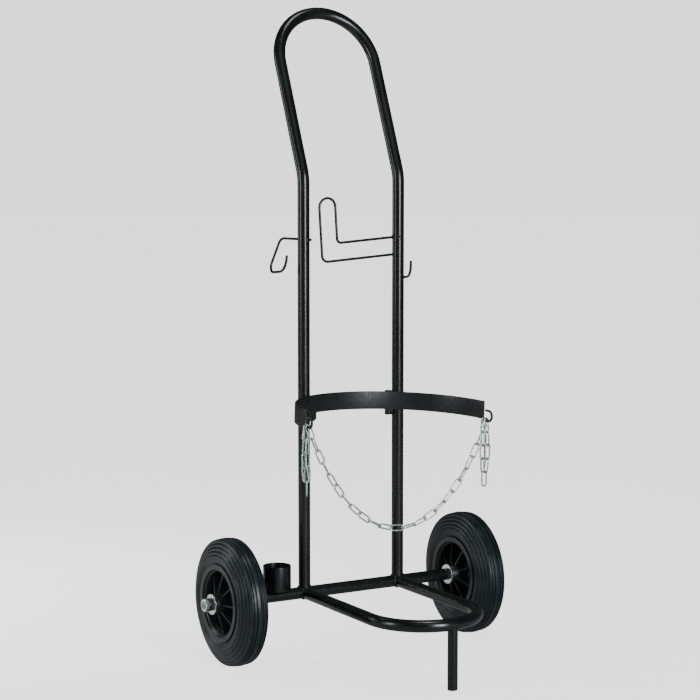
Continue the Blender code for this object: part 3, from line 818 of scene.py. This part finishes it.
def build_tails(mats):
    """Each tail is two strands side by side, which meet in one link at the bottom."""
    length = TAIL_STRAND_LINKS * LINK_PITCH
    for name, side in SIDES.items():
        forward = (hook_spot(name, 1.0) - hook_spot(name, 0.0)).normalized()
        outward = Vector((side, 0, 0))
        lift = Vector((0, 0, CHAIN_HOOK_WIRE + LINK_PLAY / 2))
        shells, feet = [], []
        for way, bulge in TAIL_BULGES:
            top = hook_spot(name, TAIL_SEAT + way * TAIL_STRAND_APART) + lift
            joints = []
            for i in range(TAIL_STRAND_LINKS + 1):
                t = i / TAIL_STRAND_LINKS
                aside = way * (TAIL_MEET * t + bulge * math.sin(math.pi * t))
                joints.append(top + outward * aside - Vector((0, 0, length * t)))
            for i, (start, end) in enumerate(zip(joints, joints[1:])):
                flat = tail_turn(name, i) @ (outward if i % 2 else forward)
                shells.append(link_shell(start, end, flat))
            feet.append(joints[-1])
        start = (feet[0] + feet[1]) / 2
        flat = tail_turn(name, TAIL_STRAND_LINKS) @ forward
        shells.append(link_shell(start, start - Vector((0, 0, LINK_PITCH)), flat))
        piece("tail_links_" + name, shells, mats["chain"], "chain_tail_" + name,
              "chain_zinc", "chain_tail_" + name)


# ---------------------------------------------------------------- wire fittings

def build_torch_rest(mats):
    points = rest_points()
    shells = [swept(split_path(points, 0.01), REST_WIRE, 20)]
    for end, inside in ((points[0], points[1]), (points[-1], points[-2])):
        out = (inside - end).normalized()
        spot = end + out * TUBE_RADIUS / 3
        shells.append(ring_bead(spot, out, REST_WIRE + 0.0004, 0.0011))
    piece("rest_wire", shells, mats["wire"], "cart", "wire_paint", "torch_rest")


def build_hose_hooks(mats):
    for name, side in SIDES.items():
        points = hose_hook_points(name)
        shells = [bar(split_path(points, 0.01), HOSE_WIRE, 20, 0.0005)]
        away = (points[1] - points[0]).normalized()
        middle = Vector((side * HALF_SPACING, 0, HOSE_HEIGHT))
        for way in (-1, 1):
            spot = middle + away * way * (TUBE_RADIUS + 0.0002)
            shells.append(ring_bead(spot, away, HOSE_WIRE + 0.0004, 0.0010))
        piece("hose_wire_" + name, shells, mats["wire"], "cart", "wire_paint", "hose_hook_" + name)


# ---------------------------------------------------------------- wheels

def groove_depth(width, radius):
    """How far the tyre's grooves and rings cut in at a point of its smooth section."""
    depth = 0.0
    if radius > TREAD_EDGE_RADIUS:
        for groove in TREAD_GROOVES:
            depth += TREAD_GROOVE_DEPTH * math.exp(-(((width - groove) / TREAD_GROOVE_WIDTH) ** 4))
    if width > WALL_EDGE_WIDTH:
        for groove in WALL_GROOVES:
            depth += WALL_GROOVE_DEPTH * math.exp(-(((radius - groove) / WALL_GROOVE_WIDTH) ** 2))
    if FINE_RING_BAND[0] < radius < FINE_RING_BAND[1]:
        depth += FINE_RING_DEPTH * (1 - math.cos(math.tau * radius / FINE_RINGS))
    return depth


def tyre_outline():
    """The smooth half section from the bead to the crown, then grooved and mirrored."""
    corners = [Vector((width, radius, 0)) for width, radius in TYRE_SECTION]
    smooth = split_path(rounded_path(corners, TYRE_ROUNDING, 12), 0.00035)
    half = [(smooth[0].x, smooth[0].y)]
    for before, point, after in zip(smooth, smooth[1:], smooth[2:]):
        tangent = (after - before).normalized()
        spot = point + Vector((-tangent.y, tangent.x, 0)) * groove_depth(point.x, point.y)
        half.append((spot.x, spot.y))
    return half + [(-along, radius) for along, radius in reversed(half)]


def rim_outline():
    """Hub, web, barrel, a stepped lip and the bead seat."""
    bore = AXLE_ROD_RADIUS + GAP
    half = [
        (HUB_HALF_LENGTH, bore), (HUB_HALF_LENGTH, HUB_END_RADIUS - 0.001),
        (HUB_HALF_LENGTH - 0.001, HUB_END_RADIUS), (0.0075, HUB_ROOT_RADIUS),
        (RIM_WEB_HALF_WIDTH, HUB_ROOT_RADIUS + 0.004),
        (RIM_WEB_HALF_WIDTH, RIM_WEB_RADIUS - 0.004),
        (0.0062, RIM_WEB_RADIUS), (0.0195, RIM_WEB_RADIUS + 0.0026),
        (0.0205, RIM_LIP_RADIUS - 0.0004), (RIM_LIP_WIDTH, RIM_LIP_RADIUS + 0.0006),
        (RIM_LIP_WIDTH - 0.0004, (RIM_LIP_RADIUS + RIM_FLANGE_RADIUS) / 2),
        (RIM_LIP_WIDTH, RIM_FLANGE_RADIUS - 0.0006),
        (TYRE_BEAD_HALF_WIDTH + GAP, RIM_FLANGE_RADIUS),
        (TYRE_BEAD_HALF_WIDTH + GAP, RIM_SEAT_RADIUS),
    ]
    return softened(half + [(-along, radius) for along, radius in reversed(half)], 0.0012)


def rib_shell(way, angle):
    """One thin rib from the hub to the rim's barrel, with a chamfered top edge."""
    half, soft = RIB_THICKNESS / 2, 0.0004
    hub, rim = HUB_ROOT_RADIUS - 0.004, RIM_WEB_RADIUS + 0.0015
    hub_top, rim_top = 0.0235, 0.0130
    verts = []
    for t in (-half, half):
        verts += [(0, hub, t), (0, rim, t), (rim_top - soft, rim, t), (hub_top - soft, hub, t)]
    for t in (soft - half, half - soft):
        verts += [(rim_top, rim, t), (hub_top, hub, t)]
    faces = [
        (0, 1, 2, 3), (4, 5, 6, 7), (3, 2, 8, 9), (7, 6, 10, 11), (9, 8, 10, 11),
        (0, 1, 5, 4), (0, 3, 9, 11, 7, 4), (1, 2, 8, 10, 6, 5),
    ]
    turn = Matrix.Rotation(angle, 3, "X")
    return [turn @ Vector((way * along, radius, t)) for along, radius, t in verts], faces


def moulding_mark(way):
    """A small square lug that stands on one rib of the rim's inner side."""
    turn = Matrix.Rotation(math.radians(157.5), 3, "X")
    along, radius, size = 0.0128, 0.0370, 0.0082
    square = [(0, 0), (size, 0), (size, size), (0, size)]
    path = [Vector((way * (along + a), radius + r, 0)) for a, r in square]
    verts, faces = swept(split_path(path + [path[0]], 0.002)[:-1], 0.0008, 8, closed=True)
    return [turn @ v for v in verts], faces


def moved(shell, offset):
    verts, faces = shell
    return [Vector(v) + offset for v in verts], faces


def build_wheels(mats):
    for name, side in SIDES.items():
        low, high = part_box("tyre_" + name)
        hub = Vector(((low.x + high.x) / 2, 0, AXLE_HEIGHT))
        body = "wheel_" + name
        tyre = turned(tyre_outline(), 168, "X", hub)
        piece("tyre_carcass_" + name, [tyre], mats["rubber"], body, "tyre_rubber", "tyre_" + name)
        rim = [turned(rim_outline(), 144, "X", hub), moved(moulding_mark(-side), hub)]
        piece("rim_moulding_" + name, rim, mats["plastic"], body, "wheel_plastic", "rim_" + name)
        ribs = []
        for k in range(RIB_COUNT):
            angle = math.tau * (k + RIB_PHASE[name]) / RIB_COUNT
            ribs += [moved(rib_shell(way, angle), hub) for way in (-1, 1)]
        # The ribs wear the lighter plastic copy, a painted highlight.
        piece("rim_ribs_" + name, ribs, mats["ribs"], body, "wheel_plastic")


def nut_shell(centre, height):
    """A hexagon nut with its corners turned down by a cone at both faces."""
    flat, half = NUT_ACROSS_FLATS / 2, height / 2
    bore = AXLE_ROD_RADIUS + GAP
    drops = (0.0, 0.0003, 0.0006, 0.0009, 0.0012, 0.0016)
    levels = [half - drop for drop in drops] + [drop - half for drop in reversed(drops)]
    segments = 96
    verts = []
    for s in range(segments):
        angle = math.tau * s / segments
        hexagon = flat / math.cos(angle % (math.pi / 3) - math.pi / 6)
        column = [(half, bore)]
        for level in levels:
            cone = flat * 0.95 + (half - abs(level)) * 1.73
            column.append((level, min(hexagon, cone)))
        column.append((-half, bore))
        for along, radius in column:
            spot = (along, radius * math.cos(angle), radius * math.sin(angle))
            verts.append(centre + Vector(spot))
    return verts, ring_faces(segments, len(levels) + 2, True)


def rod_outline(half_length):
    """A plain rod with a rolled thread and a chamfer on each end."""
    pitch, depth, threaded = 0.00175, 0.0005, 0.014
    right = []
    turns = int(threaded / pitch)
    for i in range(turns):
        start = half_length - threaded + i * pitch
        right += [(start, AXLE_ROD_RADIUS), (start + pitch / 2, AXLE_ROD_RADIUS - depth)]
    right += [
        (half_length - 0.0008, AXLE_ROD_RADIUS),
        (half_length, AXLE_ROD_RADIUS - 0.001),
        (half_length, 0.0002),
    ]
    left = [(-along, radius) for along, radius in reversed(right)]
    return left + right


def ring_plate(node, inner, outer, soft):
    """A washer that fills its node's thickness."""
    low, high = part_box(node)
    corners = [(low.x, inner), (high.x, inner), (high.x, outer), (low.x, outer)]
    return turned(softened(corners, soft), 96, "X", (0, 0, AXLE_HEIGHT))


def build_axle_hardware(mats):
    bore = AXLE_ROD_RADIUS + GAP
    rod_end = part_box("axle_rod")[1].x
    rod = turned(rod_outline(rod_end), 48, "X", (0, 0, AXLE_HEIGHT))
    piece("axle_rod_steel", [rod], mats["rod"], "cart", "dark_steel", "axle_rod")
    for name in SIDES:
        for label in ("inner", "outer"):
            node = "washer_%s_%s" % (label, name)
            shell = ring_plate(node, bore, WASHER_RADIUS, 0.0004)
            piece(node + "_plate", [shell], mats["zinc"], "cart", "zinc", node)
        # The spacer is drawn near black, painted shade for the shadow between nut and washer.
        shell = ring_plate("spacer_" + name, bore, SPACER_RADIUS, 0.0005)
        piece("spacer_ring_" + name, [shell], mats["dark"], "cart", "dark_steel", "spacer_" + name)
        low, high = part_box("axle_nut_" + name)
        centre = Vector(((low.x + high.x) / 2, 0, AXLE_HEIGHT))
        piece("nut_steel_" + name, [nut_shell(centre, high.x - low.x)], mats["zinc"],
              "cart", "zinc", "axle_nut_" + name, sharp=25)


# ---------------------------------------------------------------- stage

def soft_box(name, place, target, size, power, colour=(1, 1, 1)):
    data = bpy.data.lights.new(name, "AREA")
    data.shape = "RECTANGLE"
    data.size, data.size_y = size
    data.energy = power
    data.color = colour
    light = bpy.data.objects.new(name, data)
    light.location = place
    aim = Vector(target) - Vector(place)
    light.rotation_euler = aim.to_track_quat("-Z", "Y").to_euler()
    bpy.context.scene.collection.objects.link(light)


def sweep_light(place, target, power):
    """A soft-edged spot on the paper behind the left wheel, for the zinc to reflect."""
    data = bpy.data.lights.new("sweep_light", "SPOT")
    data.energy = power
    data.spot_size = math.radians(32)
    data.spot_blend = 1.0
    data.shadow_soft_size = 0.25
    light = bpy.data.objects.new("sweep_light", data)
    light.location = place
    light.rotation_euler = (Vector(target) - Vector(place)).to_track_quat("-Z", "Y").to_euler()
    bpy.context.scene.collection.objects.link(light)


def build_stage():
    bm = bmesh.new()
    bmesh.ops.create_circle(bm, cap_ends=True, segments=96, radius=14.0)
    mesh = bpy.data.meshes.new("floor")
    bm.to_mesh(mesh)
    bm.free()
    mat, shader = new_material("pale_floor", 0.65)
    colour_by(mat, shader, speckle(mat, 3, 3), (0.52, 0.52, 0.52), (0.56, 0.56, 0.56))
    shader.inputs["Emission Color"].default_value = (1, 1, 1, 1)
    nodes, links = mat.node_tree.nodes, mat.node_tree.links
    path = nodes.new("ShaderNodeLightPath")
    glow = nodes.new("ShaderNodeMath")
    glow.operation = "MULTIPLY"
    glow.inputs[1].default_value = PAPER_WHITE
    links.new(path.outputs["Is Camera Ray"], glow.inputs[0])
    links.new(glow.outputs["Value"], shader.inputs["Emission Strength"])
    mesh.materials.append(mat)
    floor = bpy.data.objects.new("floor", mesh)
    bpy.context.scene.collection.objects.link(floor)
    cool = (0.90, 0.96, 1.0)
    soft_box("front_box", (0.25, -2.9, 1.05), (0.0, 0.0, 0.8), (0.80, 1.55), 78, cool)
    soft_box("left_box", (-2.8, -0.1, 1.0), (0.0, 0.0, 0.6), (0.7, 1.5), 26, cool)
    soft_box("back_box", (-2.2, 2.2, 1.0), (0.0, 0.0, 0.4), (0.9, 1.4), 16, cool)
    soft_box("high_box", (-0.5, -2.8, 3.6), (0.0, 0.0, 0.9), (3.4, 1.6), 9, cool)
    soft_box("top_box", (0.3, -0.4, 3.4), (0.0, 0.0, 0.0), (0.9, 0.9), 22)
    sweep_light((-1.1, 1.7, 2.6), (-0.45, 0.8, 0.0), 360)
    world = bpy.data.worlds.new("studio")
    bpy.context.scene.world = world
    world.use_nodes = True
    nodes, links = world.node_tree.nodes, world.node_tree.links
    seen = nodes["Background"]
    seen.inputs["Color"].default_value = (1, 1, 1, 1)
    seen.inputs["Strength"].default_value = PAPER_WHITE
    fill = nodes.new("ShaderNodeBackground")
    fill.inputs["Color"].default_value = (0.93, 0.96, 1.0, 1)
    fill.inputs["Strength"].default_value = 0.07
    path = nodes.new("ShaderNodeLightPath")
    mix = nodes.new("ShaderNodeMixShader")
    links.new(path.outputs["Is Camera Ray"], mix.inputs["Fac"])
    links.new(fill.outputs["Background"], mix.inputs[1])
    links.new(seen.outputs["Background"], mix.inputs[2])
    links.new(mix.outputs["Shader"], nodes["World Output"].inputs["Surface"])


def build_camera():
    data = bpy.data.cameras.new("camera")
    data.sensor_width = 36
    data.lens = CAMERA_LENS
    camera = bpy.data.objects.new("camera", data)
    camera.location = CAMERA_PLACE
    camera.rotation_euler = (math.pi / 2 - CAMERA_PITCH, 0, -CAMERA_YAW)
    bpy.context.scene.collection.objects.link(camera)
    bpy.context.scene.camera = camera


mats = make_materials()
build_frame(mats)
build_cup(mats)
build_strap(mats)
build_brackets(mats)
build_chain_hooks(mats)
build_chain(mats)
build_tails(mats)
build_torch_rest(mats)
build_hose_hooks(mats)
build_wheels(mats)
build_axle_hardware(mats)
build_stage()
build_camera()
